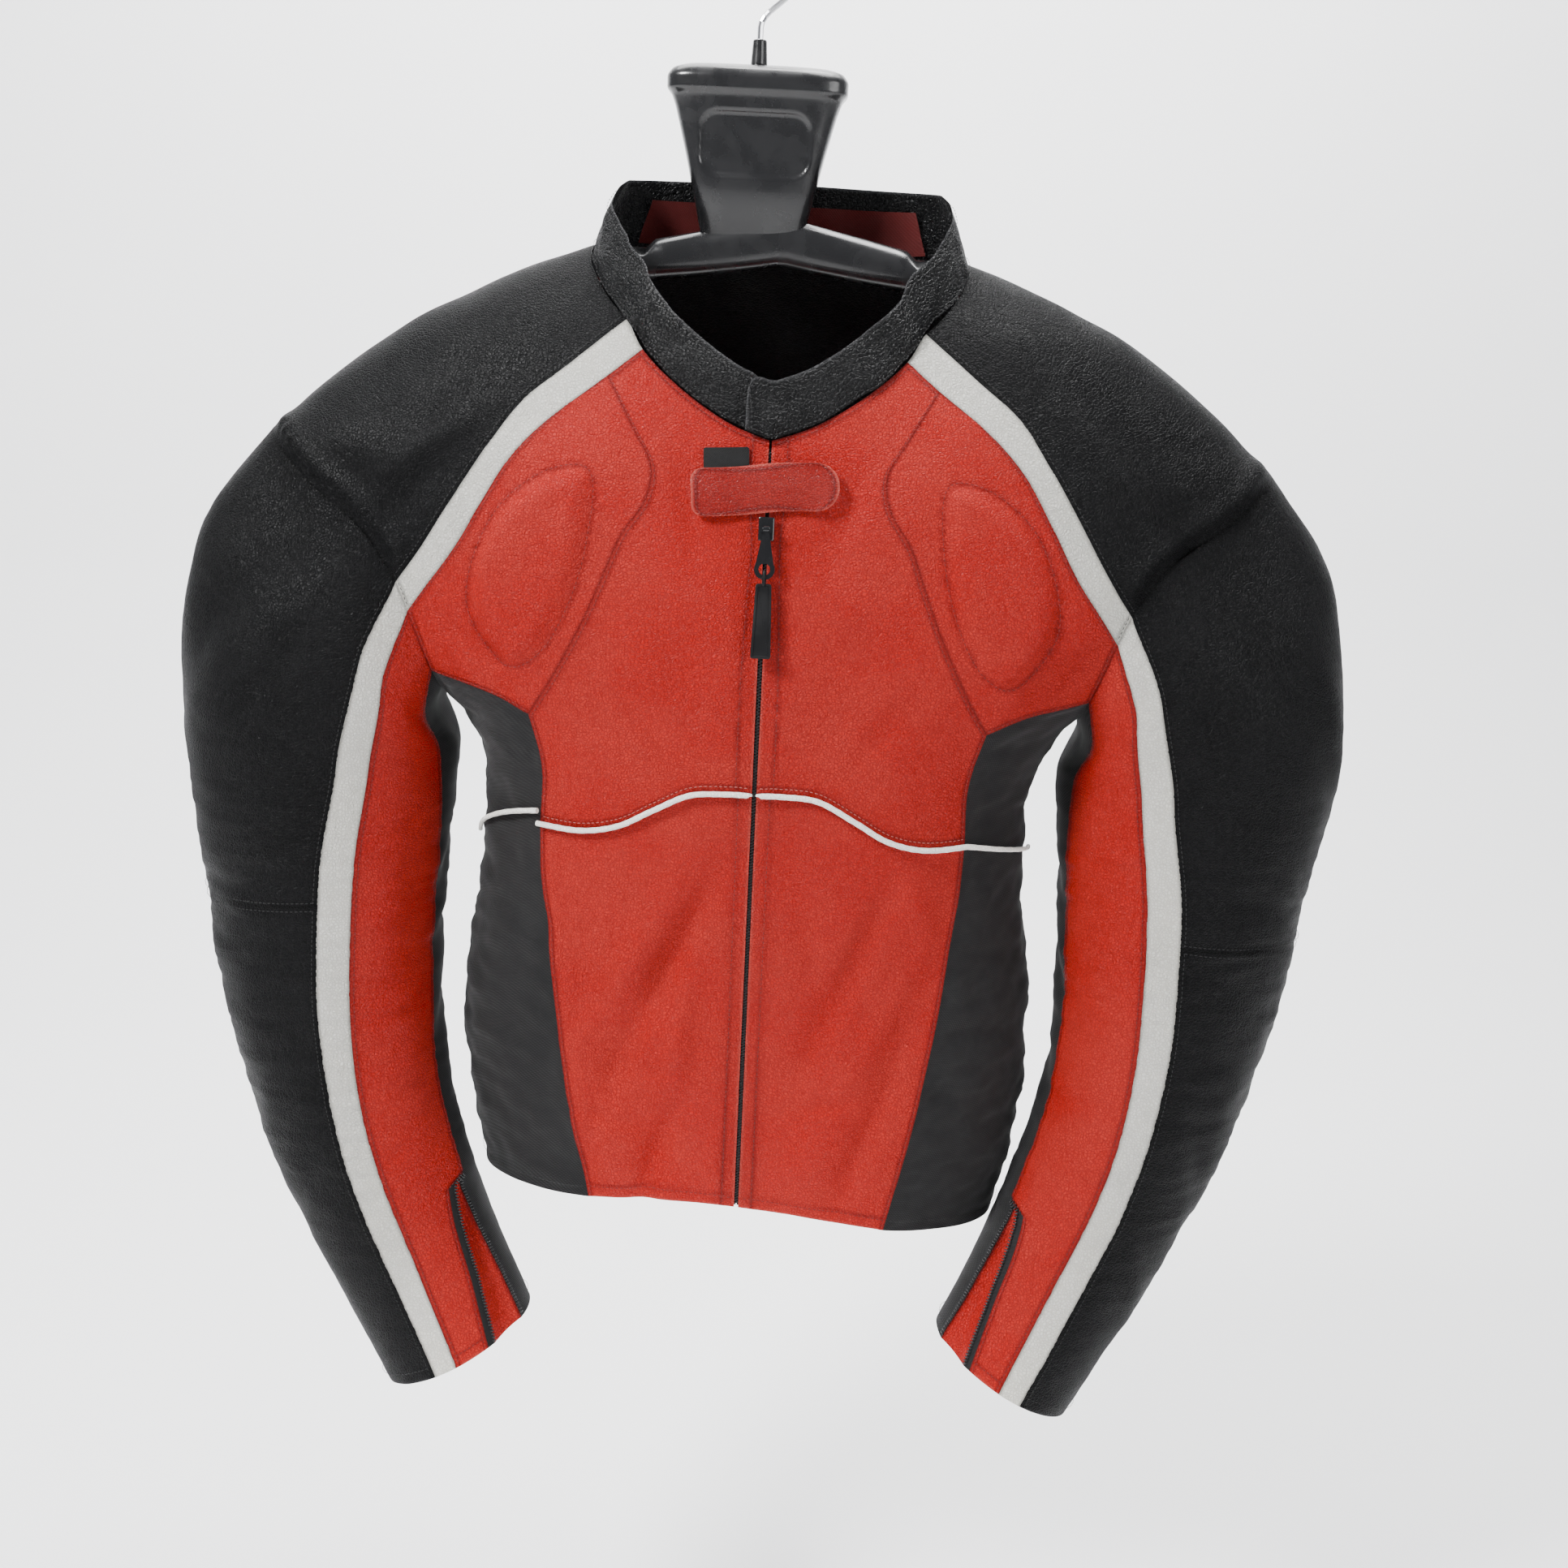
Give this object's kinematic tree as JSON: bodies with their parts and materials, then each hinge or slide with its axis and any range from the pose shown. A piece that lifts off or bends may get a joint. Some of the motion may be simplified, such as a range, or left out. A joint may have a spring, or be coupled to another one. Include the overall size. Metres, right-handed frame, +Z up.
{
  "type": "leather motorcycle jacket on a hanger",
  "caption": "Leather motorcycle jacket with armhole stripes, piped front, side panels and a zip, hanging open and hollow on a broad plastic hanger with a wire hook.",
  "frame": {"origin": "underside of the hook's top, where the hanger rests on a rail", "axes": "+Z up, +X to the viewer's right, the jacket's front faces -Y"},
  "size_m": [0.8066, 0.2385, 0.9983],
  "materials": {
    "red_leather": "satin grain",
    "white_leather": "satin grain",
    "black_leather": "satin grain",
    "stretch_fabric": "matte",
    "zip_tape": "matte",
    "black_metal": "gloss",
    "pull_rubber": "matte",
    "hanger_plastic": "gloss",
    "hook_chrome": "polished"
  },
  "bodies": {
    "garment": {"back": "black_leather", "chest_side_left": "red_leather", "chest_side_right": "red_leather", "collar": "black_leather", "cuff_gusset_left": "red_leather", "cuff_gusset_right": "red_leather", "cuff_tape_back_left": "zip_tape", "cuff_tape_back_right": "zip_tape", "cuff_tape_front_left": "zip_tape", "cuff_tape_front_right": "zip_tape", "forearm_left": "black_leather", "forearm_right": "black_leather", "front_lower_left": "red_leather", "front_lower_right": "red_leather", "front_upper_left": "red_leather", "front_upper_right": "red_leather", "hanger": "hanger_plastic", "hook": "hook_chrome", "hook_ferrule": "hanger_plastic", "piping_left": "white_leather", "piping_right": "white_leather", "shoulder_left": "black_leather", "shoulder_right": "black_leather", "side_panel_left": "stretch_fabric", "side_panel_right": "stretch_fabric", "sleeve_front_left": "red_leather", "sleeve_front_right": "red_leather", "sleeve_stripe_left": "white_leather", "sleeve_stripe_right": "white_leather", "sleeve_under_left": "stretch_fabric", "sleeve_under_right": "stretch_fabric", "sleeve_upper_left": "black_leather", "sleeve_upper_right": "black_leather", "stripe_shoulder_left": "white_leather", "stripe_shoulder_right": "white_leather", "tab_patch": "zip_tape", "tab_strap": "red_leather", "zip_slider": "black_metal", "zip_tape_left": "zip_tape", "zip_tape_right": "zip_tape"},
    "puller": {"puller": "black_metal"},
    "pull_tab": {"pull_tab": "pull_rubber"}
  },
  "joints": [
    {"name": "puller_lift", "type": "hinge", "parent": "garment", "child": "puller", "pos_m": [0.02, -0.11095, -0.371], "axis": [-1, 0, 0], "range_deg": [0, 130]},
    {"name": "pull_tab_swing", "type": "hinge", "parent": "puller", "child": "pull_tab", "pos_m": [0.02, -0.11415, -0.3963], "axis": [0, 0.9921, -0.1253], "range_deg": [-60, 60]}
  ]
}
